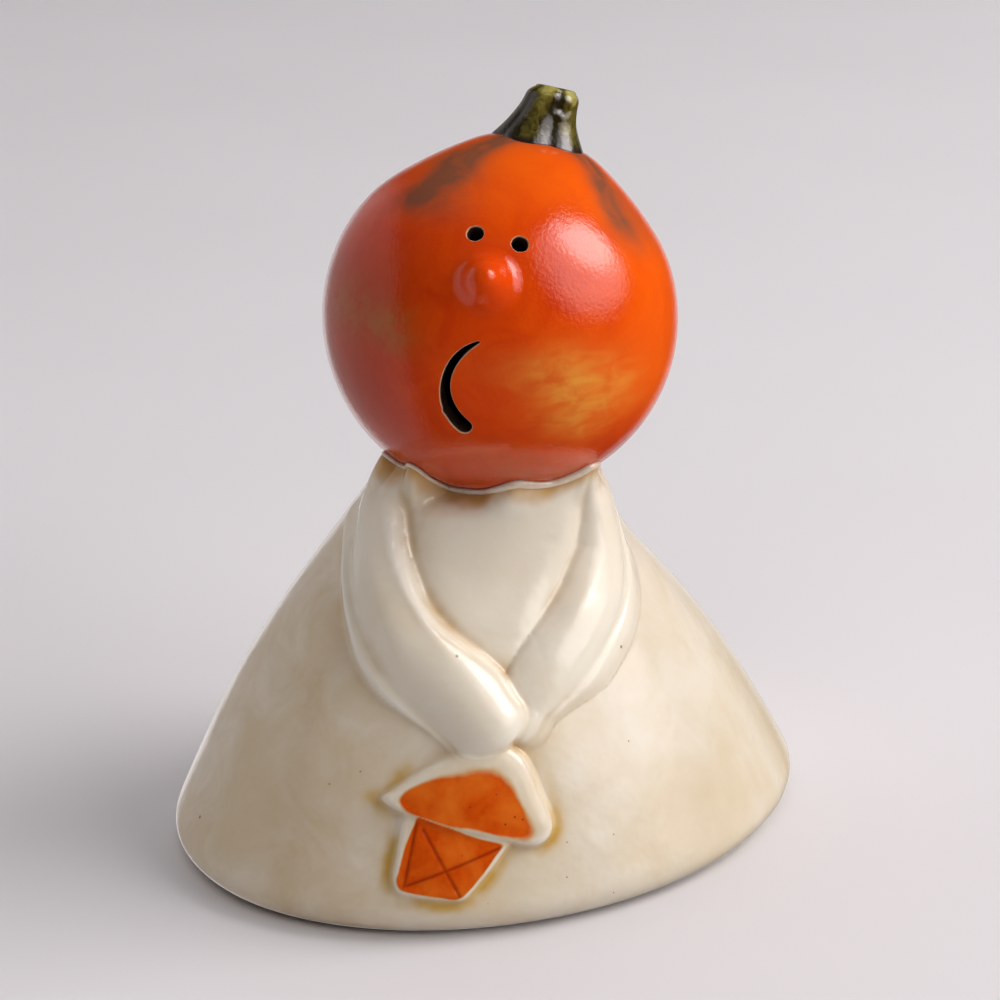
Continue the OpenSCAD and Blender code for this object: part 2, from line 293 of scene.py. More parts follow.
def dress_point(azimuth, v):
    """On the whole dress, with its neck running up to the seam on the head."""
    azimuth, v = np.broadcast_arrays(np.asarray(azimuth, float), np.asarray(v, float))
    low = wall_point(azimuth, np.minimum(v, NECK_STEP))
    rise = SEAM_STEP - NECK_STEP
    k = np.clip((v - NECK_STEP) / rise, 0, 1)[..., None]
    at = np.full_like(azimuth, NECK_STEP)
    p0 = wall_point(azimuth, at)
    t0 = (p0 - wall_point(azimuth, at - 0.5)) * 2 * rise
    p1 = ball_point(azimuth, seam_height(azimuth, SEAM_TREND), 0.45)
    t1 = (3 * (p1 - p0) - t0) / 2
    wave = ball_point(azimuth, seam_height(azimuth), 0.45) - p1
    high = between(p0, p1, t0, t1, k) + wave * ramp(k, 0.7, 1)
    return np.where(k > 0, high, low)


def dress_normal(azimuth, v):
    e = 0.02
    across = dress_point(azimuth + e / 30, v) - dress_point(azimuth - e / 30, v)
    top = np.minimum(v + e, SEAM_STEP)
    up = dress_point(azimuth, top) - dress_point(azimuth, np.maximum(v - e, HEM_STEP))
    return unit(np.cross(across, up))


# ---- arms and sleeves
# Routes of the crests of the arms over the dress: (azimuth in degrees, v)
RIGHT_ROUTE = [
    (-61, 73), (-51, 67.7), (-43, 64), (-36, 60.1), (-29, 56.1), (-22.2, 51.8), (-15.9, 47.4),
    (-10.3, 43.2), (-5.5, 39.3), (-1.3, 35.7), (2.2, 32.5),
]
LEFT_ROUTE = [
    (48.5, 72.5), (54.4, 67.1), (56.2, 62.8), (55.7, 58.6), (51.9, 54.9), (45.5, 51.4), (38.1, 48.3),
    (31.3, 45), (24.9, 41.4), (19.5, 37.6), (13.4, 32.6),
]
# Along each route in mm: inner width, outer width, ridge, height, and height of the sleeve
RIGHT_SHAPE = [
    (0, 6.0, 6.4, 12.0, 1.6, 1.2), (8, 4.4, 7.8, 11.6, 2.9, 2.0), (15, 3.0, 9.2, 11.5, 4.0, 2.2),
    (22, 2.6, 10.6, 12.2, 4.6, 2.2), (29, 2.6, 11.4, 12.8, 4.9, 2.2), (36, 3.7, 11.6, 13.6, 5.1, 2.1),
    (42, 5.6, 11.2, 13.2, 5.3, 1.8), (48, 7.6, 10.2, 11.6, 5.4, 1.3), (53, 8.4, 9.2, 10.0, 5.5, 0.8),
    (57, 8.2, 8.6, 9.2, 5.4, 0.5),
]
LEFT_SHAPE = [
    (0, 1.6, 9.5, 11.5, 1.0, 0.7), (6, 2.6, 10.2, 12.2, 2.0, 1.0), (12, 4.0, 10.4, 12.2, 3.0, 1.2),
    (18, 4.9, 9.0, 10.6, 3.6, 1.2), (25, 5.5, 8.4, 10.0, 3.8, 1.2), (31, 5.6, 8.0, 9.6, 3.8, 1.2),
    (37, 6.2, 7.4, 8.8, 3.6, 1.1), (43, 7.2, 6.4, 7.8, 3.2, 1.0), (49, 8.0, 4.6, 5.6, 2.5, 0.8),
    (54, 8.0, 2.8, 3.6, 1.8, 0.5),
]


def distances(points):
    """How far each point lies along the line through them."""
    return np.concatenate([[0], np.cumsum(np.linalg.norm(np.diff(points, axis=0), axis=1))])


def route_line(route):
    """The route as close points on the dress, with their distances along it, ways and sides."""
    r = np.array(route, float)
    along = distances(dress_point(np.radians(r[:, 0]), r[:, 1]))
    t = np.linspace(0, along[-1], 400)
    azimuth, v = np.radians(smooth_curve(along, r[:, 0], t)), smooth_curve(along, r[:, 1], t)
    points = dress_point(azimuth, v)
    way = unit(np.gradient(points, axis=0))
    side = unit(np.cross(dress_normal(azimuth, v), way))
    return points, distances(points), way, side


def along_route(line, p):
    """How far along the route each point is, how far past its end, and how far to its side."""
    points, s, way, side = line
    flat = p.reshape(-1, 3)
    nearest = np.empty(len(flat), int)
    for i in range(0, len(flat), 20000):
        part = flat[i:i + 20000]
        gap = (part**2).sum(1)[:, None] - 2 * part @ points.T + (points**2).sum(1)
        nearest[i:i + 20000] = gap.argmin(1)
    rel = flat - points[nearest]
    over = np.einsum("ij,ij->i", rel, way[nearest])
    across = np.einsum("ij,ij->i", rel, side[nearest])
    across = np.copysign(np.linalg.norm(rel - over[:, None] * way[nearest], axis=1), across)
    past = np.where(nearest == len(points) - 1, np.maximum(over, 0), 0)
    before = np.where(nearest == 0, np.maximum(-over, 0), 0)
    return [a.reshape(p.shape[:-1]) for a in (s[nearest], past, before, across)]


def dome(t, power=2.0):
    """1 at t = 0, falling to 0 at t = 1 like a quarter of an oval."""
    return np.sqrt(np.clip(1 - np.abs(t) ** power, 0, 1))


def arm_heights(route, shape, inward, groove, full, fall, swell):
    """Heights of one arm's roll, of the sleeve beside it and of the chest along its inner edge.
    groove is how high the sleeve starts, full how much fuller the roll's outside is, fall how far
    the sleeve takes to end, and swell how far the chest rises by the arm."""
    s, past, before, across = along_route(route_line(route), base_point)
    table = np.array(shape, float)
    inner, outer, ridge, high, flat = (smooth_curve(table[:, 0], table[:, i], s) for i in range(1, 6))
    end = dome(np.clip(past / 5.8, 0, 1), 2.3)
    w = -across * inward / np.maximum(end, 0.05)
    t = np.clip(-w / inner, 0, 1)
    u = np.clip(w / outer, 0, 1)
    hand = ramp(s, 34, 46)
    soft = 0.4 + 0.4 * ramp(s, 20, 32) * (1 - hand)
    inside = high * ((1 - soft) * dome(t) + soft * (1 - t**2) ** 1.25)
    trough = groove * flat
    outside = trough + (high - trough) * (1 - u ** (3.0 - 0.7 * hand))
    outside = outside + full * (1 - hand) * np.sin(math.pi * u) ** 2
    rise = ramp(w, outer * 0.9, ridge)
    lip = 0.17 * bell(w - ridge, 0.55)
    fall = fall * (1 - 0.6 * ramp(s, 38, 54))
    band = (trough + (flat - trough) * rise) * (1 - ramp(w, ridge, ridge + fall)) + lip
    presence = end**0.7 * ramp(-before, -5, 0)
    roll = np.where(w < 0, inside, np.where(w < outer, outside, 0)) * presence
    sleeve = np.where((w >= outer) & (w < ridge + fall), band, 0) * presence * ramp(s, 1, 9)
    gap = -w - inner
    chest = (swell * bell(gap - 4.2, 3.4) - 0.3 * bell(gap - 0.5, 0.75)) * (gap > -0.1 * inner)
    return roll, sleeve, chest * presence * ramp(s, 2, 12) * ramp(-s, -48, -34)


# ---- lantern
ROOF = [
    (-18.2, -0.9), (-15.3, 3.4), (-8, 10.6), (1.5, 16.5), (7.6, 15.6), (17.6, 5.4), (18.4, 2.8),
    (15.5, -0.5), (7.8, -1.1), (-10, -2.1), (-16.5, -1.7),
]
ROOF_PANEL = [
    (-14, 0), (-13.5, 2), (-9.9, 5.8), (-5, 8.7), (-0.3, 10.6), (4.2, 11.4), (6.2, 10.3), (11, 5.7),
    (13.8, 2.4), (13.4, 0.8), (5, -0.4), (-6.7, -1.0), (-13, -0.9),
]
CASE = [
    (-12.6, 0), (-12.1, -6.8), (-11.1, -13.4), (-8.9, -15.6), (1.4, -14.1), (4.6, -12.9), (7.2, -8.6),
    (10.6, 0),
]
WINDOW = [
    (-9.0, -1.2), (-9.9, -6), (-9.6, -13.4), (-8.3, -14.5), (-3.5, -14), (2.9, -12.9), (4.4, -11.2),
    (8.6, -1.5),
]
SCORES = [((-7.3, -3.0), (3.6, -12.5)), ((-7.4, -13.3), (7.9, -2.2)), ((-8.9, -2.4), (-7.8, -13.6))]


def inside_distance(x, y, outline, k):
    """Distance inside a convex outline, negative outside, with its corners rounded by about k."""
    pts = np.array(outline, float)
    area = np.sum(pts[:, 0] * np.roll(pts[:, 1], -1) - pts[:, 1] * np.roll(pts[:, 0], -1))
    total = None
    for a, b in zip(pts, np.roll(pts, -1, axis=0)):
        ex, ey = (b - a) / np.linalg.norm(b - a) * np.sign(area)
        d = (y - a[1]) * ex - (x - a[0]) * ey
        total = d if total is None else -soft_max(-total, -d, k)
    return total


def segment_distance(x, y, a, b):
    a, b = np.array(a, float), np.array(b, float)
    e = b - a
    t = np.clip(((x - a[0]) * e[0] + (y - a[1]) * e[1]) / (e @ e), 0, 1)
    return np.hypot(x - a[0] - t * e[0], y - a[1] - t * e[1])


def lantern_place(p):
    dx, dz = p[..., 0] - LANTERN_POS[0], p[..., 2] - LANTERN_POS[1]
    c, s = math.cos(LANTERN_LEAN), math.sin(LANTERN_LEAN)
    return dx * c - dz * s, dx * s + dz * c


def raised(d, height, width, rim):
    """A raised tablet with a round edge, a slim rim inside it and a pillowed middle."""
    edge = height * dome(1 - np.clip(d / width, 0, 1), 2.0)
    return np.where(d > 0, edge + (rim * bell(d - 1.2, 0.6) + 0.3 * ramp(d, 1.5, 6.0)) * ramp(d, 0, 0.8), 0)


# ---- grid over the dress
FINE_AZIMUTH, FINE_V = (-29.0, 19.0), (-3.0, 35.0)


def spaced(low, high, step, twos=False):
    n = round((high - low) / step)
    n += n % 2 if twos else 0
    return np.linspace(low, high, n + 1)[:-1]


azimuth_lines = np.radians(np.concatenate([
    spaced(*FINE_AZIMUTH, 0.3, True), spaced(19, 101, 0.6), spaced(101, 280, 1.6), spaced(280, 331, 0.6)
]))
v_lines = np.concatenate([
    spaced(HEM_STEP, -3, 0.5), spaced(*FINE_V, 0.25, True), spaced(35, SEAM_STEP, 0.55), [SEAM_STEP]
])
columns, rows = len(azimuth_lines), len(v_lines)
fine_columns = int(np.searchsorted(azimuth_lines, math.radians(FINE_AZIMUTH[1]) - 1e-6))
fine_rows = tuple(int(np.searchsorted(v_lines, x - 1e-6)) for x in FINE_V)
grid_azimuth, grid_v = np.meshgrid(azimuth_lines, v_lines)


def soften(h, width):
    """h blurred over the dress by about width mm."""
    base = dress_point(grid_azimuth, grid_v)
    up = np.cumsum(np.concatenate([[0], np.linalg.norm(np.diff(base, axis=0), axis=2).mean(1)]))
    weights = np.exp(-0.5 * ((up[:, None] - up[None]) / width) ** 2)
    h = (weights / weights.sum(1, keepdims=True)) @ h
    radius = np.linalg.norm(base[..., :2] - base[..., :2].mean(1, keepdims=True), axis=2).mean(1)[:, None]
    total, share = np.zeros_like(h), np.zeros_like(h)
    reach = int(3 * width / 0.12)
    for k in range(-reach, reach + 1):
        gap = np.abs((np.roll(azimuth_lines, -k) - azimuth_lines + math.pi) % (2 * math.pi) - math.pi)
        w = np.exp(-0.5 * (gap[None] * radius / width) ** 2)
        if w.max() < 1e-3:
            continue
        total += w * np.roll(h, -k, axis=1)
        share += w
    return total / share


def blend_max(a, b, k):
    """The higher of two reliefs, with the crease between them filled."""
    near = np.clip(1 - np.abs(a - b) / k, 0, 1)
    return np.maximum(a, b) + 0.25 * k * near**2 * ramp(np.minimum(a, b), 0, k)


base_normal = dress_normal(grid_azimuth, grid_v)
base_point = dress_point(grid_azimuth, grid_v)
calm = ramp(grid_v, -9, 4) * ramp(-grid_v, -74, -66)
base_point = base_point + base_normal * (
    (0.20 * wobble(base_point, 17, 3) + 0.07 * wobble(base_point, 6, 4)) * calm
)[..., None]

right_roll, right_band, right_chest = arm_heights(RIGHT_ROUTE, RIGHT_SHAPE, 1, 0.8, 0.8, 2.4, 0.3)
left_roll, left_band, left_chest = arm_heights(LEFT_ROUTE, LEFT_SHAPE, -1, 1.0, 0.0, 5.0, 0.7)
in_front = base_point[..., 1] < 0
on_roof, on_case = (lantern_place(base_point + base_normal * r) for r in (ROOF_RELIEF, CASE_RELIEF))
roof_d, roof_panel_d, case_d, window_d = (
    np.where(in_front, inside_distance(*where, outline, k), -20) for where, outline, k in (
        (on_roof, ROOF, 1.6), (on_roof, ROOF_PANEL, 2.0), (on_case, CASE, 1.2), (on_case, WINDOW, 0.8)
    )
)
uneven = 0.25 * wobble(base_point, 3.5, 8)
roof_edge = 1.1 + 2.0 * ramp(on_roof[1], -1.0, 4.0)
roof = raised(roof_d + uneven * 0.6, ROOF_RELIEF - 0.5, roof_edge, 0.05)
roof = roof - PANEL_DEPTH * ramp(roof_panel_d, -0.4, 0.6)
case = raised(case_d + uneven * 0.5, CASE_RELIEF - 0.4, 1.5, 0.12) - PANEL_DEPTH * ramp(window_d, -0.3, 0.4)

PARTS = [
    "dress_shell", "right_arm", "left_arm", "right_sleeve", "left_sleeve", "lantern_roof", "lantern_case",
]
fields = np.stack([np.full_like(roof, 0.10), right_roll, left_roll, right_band, left_band, roof, case])
chest = right_chest + left_chest * ramp(-right_roll, -1.0, -0.1)
arms = blend_max(right_roll + right_band, left_roll + left_band, 0.8) + chest
arms = arms * (1 - 0.6 * ramp(grid_v, 66, SEAM_STEP))
height = soften(np.max([arms, roof, case], axis=0), 0.32)
score = np.min([segment_distance(*on_case, a, b) for a, b in SCORES], axis=0)
score_depth = bell(score, 0.30) * ramp(window_d, -0.3, 0.5) * ramp(case - roof, -0.2, 0.4) * in_front
height = height - 0.13 * score_depth + 0.02 * bell(score - 0.6, 0.3) * ramp(window_d, 0, 0.8)
grid_point = base_point + base_normal * height[..., None]

across = np.roll(grid_point, -1, axis=1) - np.roll(grid_point, 1, axis=1)
upward = np.gradient(grid_point, axis=0)
grid_normal = unit(np.cross(across, upward))

# From the shape: the glaze pools brown in creases and breaks white on ridges.
near_height, wide_height = soften(height, 0.9), soften(height, 2.2)
crease = np.clip(near_height - height, 0, None) / 0.5 + np.clip(wide_height - height, 0, None) / 1.3
crease = soften(crease, 0.6)
break_line = np.clip(height - near_height, 0, None) / 0.35
collar_drop = SEAM_STEP - grid_v
faded = 0.7 + 1.3 * ramp(on_roof[1], 5, 10) + 0.9 * ramp(on_roof[0], 9, 13)
orange = np.maximum(ramp(roof_panel_d + uneven, -faded, faded), ramp(window_d + uneven * 0.6, -0.4, 0.4))
covered = np.max([right_roll, left_roll, right_band, left_band], axis=0)
orange = orange * (1 - ramp(covered - np.maximum(roof, case), -0.6, 0.3))
halo = bell(np.maximum(roof_d, case_d) + 0.7, 1.6) * in_front
# Paler cream on the arms, sleeves and a patch of the lower chest: partly paler glaze, partly painted light on
# these front surfaces.
pale_glaze_and_light = ramp(covered, 0.3, 1.5) + ramp(grid_v, 36, 46) * ramp(-np.abs(np.degrees(grid_azimuth) - 14), -50, -22)
# Painted shade: the cream turns darker and browner towards the left front, the side away from the key light.
left_side_shade = ramp(-base_point[..., 0], -12, 40) * ramp(-base_point[..., 1], -30, 14)
surface_values = {
    "crease": crease, "break_line": break_line, "orange": orange, "score": score_depth,
    "halo": halo * (1 - ramp(covered, 0.3, 1.0)), "collar_drop": collar_drop,
    "pale_glaze_and_light": np.clip(pale_glaze_and_light, 0, 1), "left_side_shade": left_side_shade,
}


def coarse_lines(total, fine):
    """Every line outside the fine stretch, and every second one inside it."""
    return [i for i in range(total) if not (fine[0] < i < fine[1]) or (i - fine[0]) % 2 == 0]


def grid_cells():
    """The grid's faces as lists of (row, column), finer over the lantern."""
    row_lines = coarse_lines(rows, fine_rows)
    column_lines = coarse_lines(columns, (0, fine_columns)) + [columns]
    is_fine_row = [fine_rows[0] <= a < fine_rows[1] for a in row_lines[:-1]]
    is_fine_column = [a < fine_columns for a in column_lines[:-1]]
    cells = []
    for i, (r0, r1) in enumerate(zip(row_lines, row_lines[1:])):
        below = i > 0 and is_fine_row[i - 1]
        above = i + 2 < len(row_lines) and is_fine_row[i + 1]
        for j, (c0, c1) in enumerate(zip(column_lines, column_lines[1:])):
            if is_fine_row[i] and is_fine_column[j]:
                quarters = [(a, b) for a in (r0, r0 + 1) for b in (c0, c0 + 1)]
                cells += [[(a, b), (a, b + 1), (a + 1, b + 1), (a + 1, b)] for a, b in quarters]
                continue
            after, before = is_fine_column[(j + 1) % len(is_fine_column)], is_fine_column[j - 1]
            corners = [
                (r0, c0), is_fine_column[j] and below and (r0, c0 + 1),
                (r0, c1), is_fine_row[i] and after and (r0 + 1, c1),
                (r1, c1), is_fine_column[j] and above and (r1, c0 + 1),
                (r1, c0), is_fine_row[i] and before and (r0 + 1, c0),
            ]
            cells.append([corner for corner in corners if corner])
    return [[r * columns + c % columns for r, c in cell] for cell in cells]


cells = grid_cells()
flat_fields = fields.reshape(len(PARTS), -1)
cell_label = np.array([flat_fields[:, c].mean(1).argmax() for c in cells])
flat_orange = orange.reshape(-1)
cell_orange = np.array([flat_orange[c].mean() for c in cells]) > 0.5


# ---- meshes
def ring_faces(rings, turns):
    """The faces between closed rings of points that are numbered ring by ring."""
    return [
        [i * turns + j, i * turns + (j + 1) % turns, (i + 1) * turns + (j + 1) % turns, (i + 1) * turns + j]
        for i in range(rings - 1) for j in range(turns)
    ]


def capped_faces(rings, turns):
    """The same, closed by a flat face at each end."""
    ends = [list(range(turns))[::-1], list(range((rings - 1) * turns, rings * turns))]
    return ring_faces(rings, turns) + ends


def closed_faces(rings, turns, flip=False):
    """The same, closed by two more points, one before the first ring and one past the last."""
    last = (rings - 1) * turns
    faces = ring_faces(rings, turns)
    faces += [[rings * turns, (j + 1) % turns, j] for j in range(turns)]
    faces += [[rings * turns + 1, last + j, last + (j + 1) % turns] for j in range(turns)]
    return [[f[0], *f[:0:-1]] for f in faces] if flip else faces


def set_normals(mesh, normals, on_faces):
    """Give each point its normal on the faces in on_faces. The others keep their own."""
    corner = np.empty(len(mesh.loops), int)
    mesh.loops.foreach_get("vertex_index", corner)
    own = np.empty(len(mesh.polygons) * 3)
    mesh.polygons.foreach_get("normal", own)
    sizes = np.diff(np.append([p.loop_start for p in mesh.polygons], len(corner)))
    spread = np.repeat(own.reshape(-1, 3), sizes, axis=0)
    chosen = np.where(np.repeat(on_faces, sizes)[:, None], np.asarray(normals)[corner], spread)
    mesh.shade_smooth()
    mesh.normals_split_custom_set(chosen.tolist())


def set_values(mesh, values):
    for key, value in values.items():
        mesh.attributes.new(key, "FLOAT", "POINT").data.foreach_set("value", np.asarray(value, np.float32))


def make_mesh(name, points, faces, normals=None, smooth_faces=None, values=None):
    """A mesh piece from points in mm. normals holds one for each point, for smooth_faces."""
    mesh = bpy.data.meshes.new(name)
    mesh.from_pydata((np.asarray(points) * MM).tolist(), [], [list(map(int, f)) for f in faces])
    mesh.update()
    set_values(mesh, values or {})
    mesh.shade_smooth()
    if normals is not None:
        set_normals(mesh, normals, smooth_faces)
    piece = bpy.data.objects.new(name, mesh)
    bpy.context.scene.collection.objects.link(piece)
    return piece


def finish_piece(piece, node, slot, *materials):
    for material in materials:
        piece.data.materials.append(material)
    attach(piece, "root")
    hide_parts(node)


def only_used(faces):
    """The points that the faces use, and the faces by their new numbers."""
    used = np.unique(np.concatenate(faces))
    index = np.full(used[-1] + 1, -1)
    index[used] = np.arange(len(used))
    return used, [[index[a] for a in f] for f in faces]


def relief_piece(name, chosen, sunk, under):
    """A closed solid of the chosen cells: the shared surface, an underside and side walls.
    Its top lies sunk mm lower, where another piece covers it."""
    used, tops = only_used([cells[i] for i in np.flatnonzero(chosen)])
    top, bottom = (a.reshape(-1, 3)[used] for a in (grid_point - base_normal * sunk[..., None], under))
    n = len(used)
    edges = {(a, b) for f in tops for a, b in zip(f, f[1:] + f[:1])}
    rim = [(a, b) for a, b in edges if (b, a) not in edges]
    walls = [[b, a, a + n, b + n] for a, b in sorted(rim)]
    undersides = [[a + n for a in reversed(f)] for f in tops]
    both = np.concatenate([used, used])
    return make_mesh(
        name, np.concatenate([top, bottom]), tops + walls + undersides,
        grid_normal.reshape(-1, 3)[both], np.arange(2 * len(tops) + len(walls)) < len(tops),
        {k: v.reshape(-1)[both] for k, v in surface_values.items()},
    )


def inside_only(chosen):
    """1 at the grid points all of whose cells are chosen, else 0."""
    touched, other = np.zeros(rows * columns, bool), np.zeros(rows * columns, bool)
    for i, f in enumerate(cells):
        (touched if chosen[i] else other)[f] = True
    return (touched & ~other).reshape(rows, columns).astype(float)


# ---- materials
COAT_ROUGHNESS = 0.08


class Glaze(Tree):
    """A material on the Principled shader, with its patterns placed in mm on the piece."""

    def __init__(self, name):
        self.material = bpy.data.materials.new(name)
        super().__init__(self.material)
        self.shader = self.add("BsdfPrincipled")
        self.add("OutputMaterial", {"Surface": self.shader.outputs[0]})
        self.place = self.add("TexCoord").outputs["Object"]

    def value(self, name):
        return self.add("Attribute", attribute_name=name).outputs["Fac"]

    def noise(self, size, detail=3.0, rough=0.55, warp=0.0, squeeze=None):
        """Noise from 0 to 1 with features about size mm across, and squeeze times less tall."""
        place = self.place
        if squeeze:
            place = self.add("Mapping", {"Vector": place, "Scale": (1, 1, squeeze)}).outputs[0]
        values = {"Vector": place, "Scale": 1 / (size * MM), "Detail": detail}
        values |= {"Roughness": rough, "Distortion": warp}
        return self.add("TexNoise", values).outputs["Fac"]

    def cloud(self, low, high, to_low, to_high, *noise):
        """The same noise, with low to high stretched to to_low to to_high."""
        return self.scaled(self.noise(*noise), low, high, to_low, to_high)

    def dots(self, size, chance, radius):
        """Sparse round specks: cells size mm across, a share chance of which hold one."""
        cell = self.add("TexVoronoi", {"Vector": self.place, "Scale": 1 / (size * MM)}).outputs
        draw = self.add("SeparateColor", (cell["Color"],)).outputs[0]
        chosen = self.scaled(draw, chance, chance * 0.98)
        return self.times(self.scaled(cell["Distance"], radius, radius * 0.5), chosen)

    def mix(self, amount, a, b):
        values = {"Factor": amount, "A": a, "B": b}
        return self.add("Mix", values, data_type="RGBA", clamp_factor=True).outputs["Result"]

    def over(self, amount, colour):
        """Lay a colour over the glaze's own."""
        self.colour = self.mix(amount, self.colour, colour)

    def bump(self, height, distance, strength, below=None):
        values = {"Height": height, "Distance": distance * MM, "Strength": strength}
        return self.add("Bump", values | ({"Normal": below} if below else {})).outputs["Normal"]

    def surface(self, roughness, normal=None, ior=1.5, coat=0.0):
        values = {
            "Base Color": self.colour, "Roughness": roughness, "IOR": ior, "Coat Weight": coat,
            "Coat Roughness": COAT_ROUGHNESS,
        }
        if normal:
            values["Normal"] = normal
        for key, value in values.items():
            self.put(value, self.shader.inputs[key])
        return self.material


def cream_glaze(name):
    """Ivory gloss glaze: honey where it pools, white on the edges, orange over the panels, with painted shade
    on the left front and right under the collar bead, and painted light on the reliefs.
    """
    t = Glaze(name)
    cloud = t.noise(14, 4, 0.6, 0.6)
    stain = t.noise(30, 3, 0.5, 0.8)
    fine = t.noise(2.2, 4, 0.65)
    t.colour = t.mix(t.scaled(cloud, 0.35, 0.70), (0.765, 0.69, 0.58), (0.71, 0.615, 0.475))
    # Painted shade, mottled, over the left front of the dress.
    t.over(t.times(t.value("left_side_shade"), t.scaled(cloud, 0.30, 0.65, 0.21, 0.7)), (0.58, 0.43, 0.26))
    t.over(t.scaled(stain, 0.47, 0.70, 0, 0.65), (0.65, 0.52, 0.34))
    # Paler cream on the reliefs and chest, partly paler glaze and partly painted light.
    t.over(t.times(t.value("pale_glaze_and_light"), t.scaled(stain, 0.30, 0.70, 0.95, 0.5)), (0.85, 0.785, 0.665))
    pooled = t.times(t.value("crease"), t.cloud(0.36, 0.66, 0, 0.55, 9, 2, 0.5))
    t.over(t.scaled(pooled, 0.08, 0.9, 0, 0.75), (0.52, 0.33, 0.14))
    t.over(t.times(t.value("halo"), t.cloud(0.36, 0.62, 0, 1, 8, 2, 0.5)), (0.56, 0.34, 0.08))
    # Below the bead: honey where the glaze pools, then a dark strip right under the bead, which is painted
    # shade.
    drop = t.plus(t.value("collar_drop"), t.cloud(0.25, 0.75, -2.2, 2.2, 9, 2, 0.5))
    t.over(t.scaled(drop, 4.6, 0.4, 0, 1, True), (0.60, 0.35, 0.13))
    t.over(t.scaled(drop, 1.2, -1.2, 0, 0.5, True), (0.36, 0.17, 0.05))
    broken = t.times(t.value("break_line"), t.scaled(fine, 0.3, 0.6, 0.6, 1))
    t.over(t.scaled(broken, 0.25, 1.0, 0, 0.45), (0.90, 0.86, 0.80))
    red = t.mix(t.scaled(fine, 0.35, 0.68), (0.68, 0.088, 0.003), (0.58, 0.060, 0.002))
    red = t.mix(t.cloud(0.42, 0.72, 0, 1, 8, 3, 0.5, 0.5), red, (0.74, 0.150, 0.012))
    red = t.mix(t.times(t.value("score"), 0.75), red, (0.25, 0.015, 0.002))
    red = t.mix(t.dots(1.7, 0.14, 0.16), red, (0.30, 0.03, 0.01))
    edge = t.plus(t.value("orange"), t.cloud(0.3, 0.7, -0.08, 0.08, 3, 2, 0.5))
    t.over(t.scaled(edge, 0.10, 0.50, 0, 0.8, True), (0.66, 0.36, 0.12))
    t.over(t.scaled(edge, 0.34, 0.78, 0, 1, True), red)
    specks = t.math("MAXIMUM", t.dots(6.5, 0.15, 0.07), t.dots(3.1, 0.05, 0.07))
    t.over(t.times(specks, 0.8), (0.16, 0.07, 0.03))
    ripple = t.bump(t.noise(7, 2), 0.35, 0.6)
    skin = t.bump(t.noise(0.9, 3), 0.035, 0.5, ripple)
    return t.surface(t.scaled(fine, 0.2, 0.8, 0.06, 0.10), skin)


def orange_glaze():
    """Vermilion gloss glaze with smoke from the stem, painted shade in brown low down and on the left,
    painted light on the right and top, and a yellow cloud.
    """
    t = Glaze("orange_glaze")
    fine = t.noise(1.6, 4, 0.6)
    cloud = t.noise(11, 4, 0.6, 0.8)
    t.colour = t.mix(t.scaled(cloud, 0.35, 0.68), (0.76, 0.070, 0.002), (0.66, 0.045, 0.002))
    # Painted light: brighter orange on the right side, towards the key light, and on the top of the head.
    t.over(t.times(t.value("lit_right_and_top"), t.scaled(cloud, 0.3, 0.7, 1.0, 0.7)), (0.86, 0.108, 0.002))
    # Painted shade: darker brown on the lower half and the left side of the head.
    t.over(t.times(t.value("shade_low_and_left"), 0.9), (0.32, 0.026, 0.003))
    bronze = t.times(t.value("bronze"), t.cloud(0.35, 0.60, 0.16, 0.8, 5, 4, 0.6, 0.6))
    t.over(bronze, (0.36, 0.11, 0.02))
    gold = t.times(t.value("gold"), t.cloud(0.34, 0.66, 0.3, 0.85, 7, 3, 0.55, 0.6, 2.0))
    t.over(gold, (0.84, 0.36, 0.05))
    smoke = t.times(t.value("smoke"), t.cloud(0.25, 0.55, 0.44, 0.8, 7, 3, 0.55, 0.7))
    t.over(smoke, (0.10, 0.072, 0.045))
    t.over(t.dots(4.2, 0.10, 0.045), (0.22, 0.02, 0.008))
    ripple = t.bump(t.noise(9, 2), 0.4, 0.4)
    peel = t.bump(t.noise(0.75, 2, 0.5), 0.06, 0.9, ripple)
    return t.surface(t.scaled(fine, 0.2, 0.8, 0.09, 0.15), peel)


def green_glaze():
    """Olive glaze, yellow on the ridges and brown-black in the flutes."""
    t = Glaze("green_glaze")
    flow = t.noise(2.4, 4, 0.6, 1.0)
    ridge = t.plus(t.value("ridge"), t.scaled(flow, 0.25, 0.75, -0.35, 0.35))
    t.colour = t.mix(t.scaled(ridge, 0.40, 0.95), (0.022, 0.016, 0.005), (0.16, 0.13, 0.02))
    t.over(t.scaled(ridge, 0.85, 1.25, 0, 0.85), (0.42, 0.37, 0.10))
    t.over(t.value("foot"), (0.022, 0.014, 0.010))
    skin = t.bump(t.noise(1.2, 3), 0.12, 0.7)
    return t.surface(t.scaled(flow, 0.2, 0.8, 0.10, 0.20), skin, ior=1.55)


def bead_glaze():
    """Pale slip bead under clear glaze, with painted shade in honey brown on its underside."""
    t = Glaze("slip_bead")
    patch = t.noise(3.0, 3, 0.6)
    t.colour = t.mix(t.scaled(patch, 0.35, 0.7), (0.78, 0.68, 0.57), (0.68, 0.52, 0.38))
    # Painted shade on the bead's lower side, mottled.
    shaded_underside = t.plus(t.value("under"), t.scaled(patch, 0.3, 0.7, -0.3, 0.3))
    t.over(t.scaled(shaded_underside, 0.45, 1.1, 0, 0.8), (0.33, 0.16, 0.05))
    return t.surface(0.22, t.bump(t.noise(0.8, 2), 0.05, 0.6), coat=0.3)


def bare_clay(name, light, dark, grain):
    t = Glaze(name)
    t.colour = t.mix(t.scaled(t.noise(grain, 4, 0.65), 0.3, 0.7), light, dark)
    return t.surface(0.8, t.bump(t.noise(grain * 0.4, 3), 0.08, 0.6))


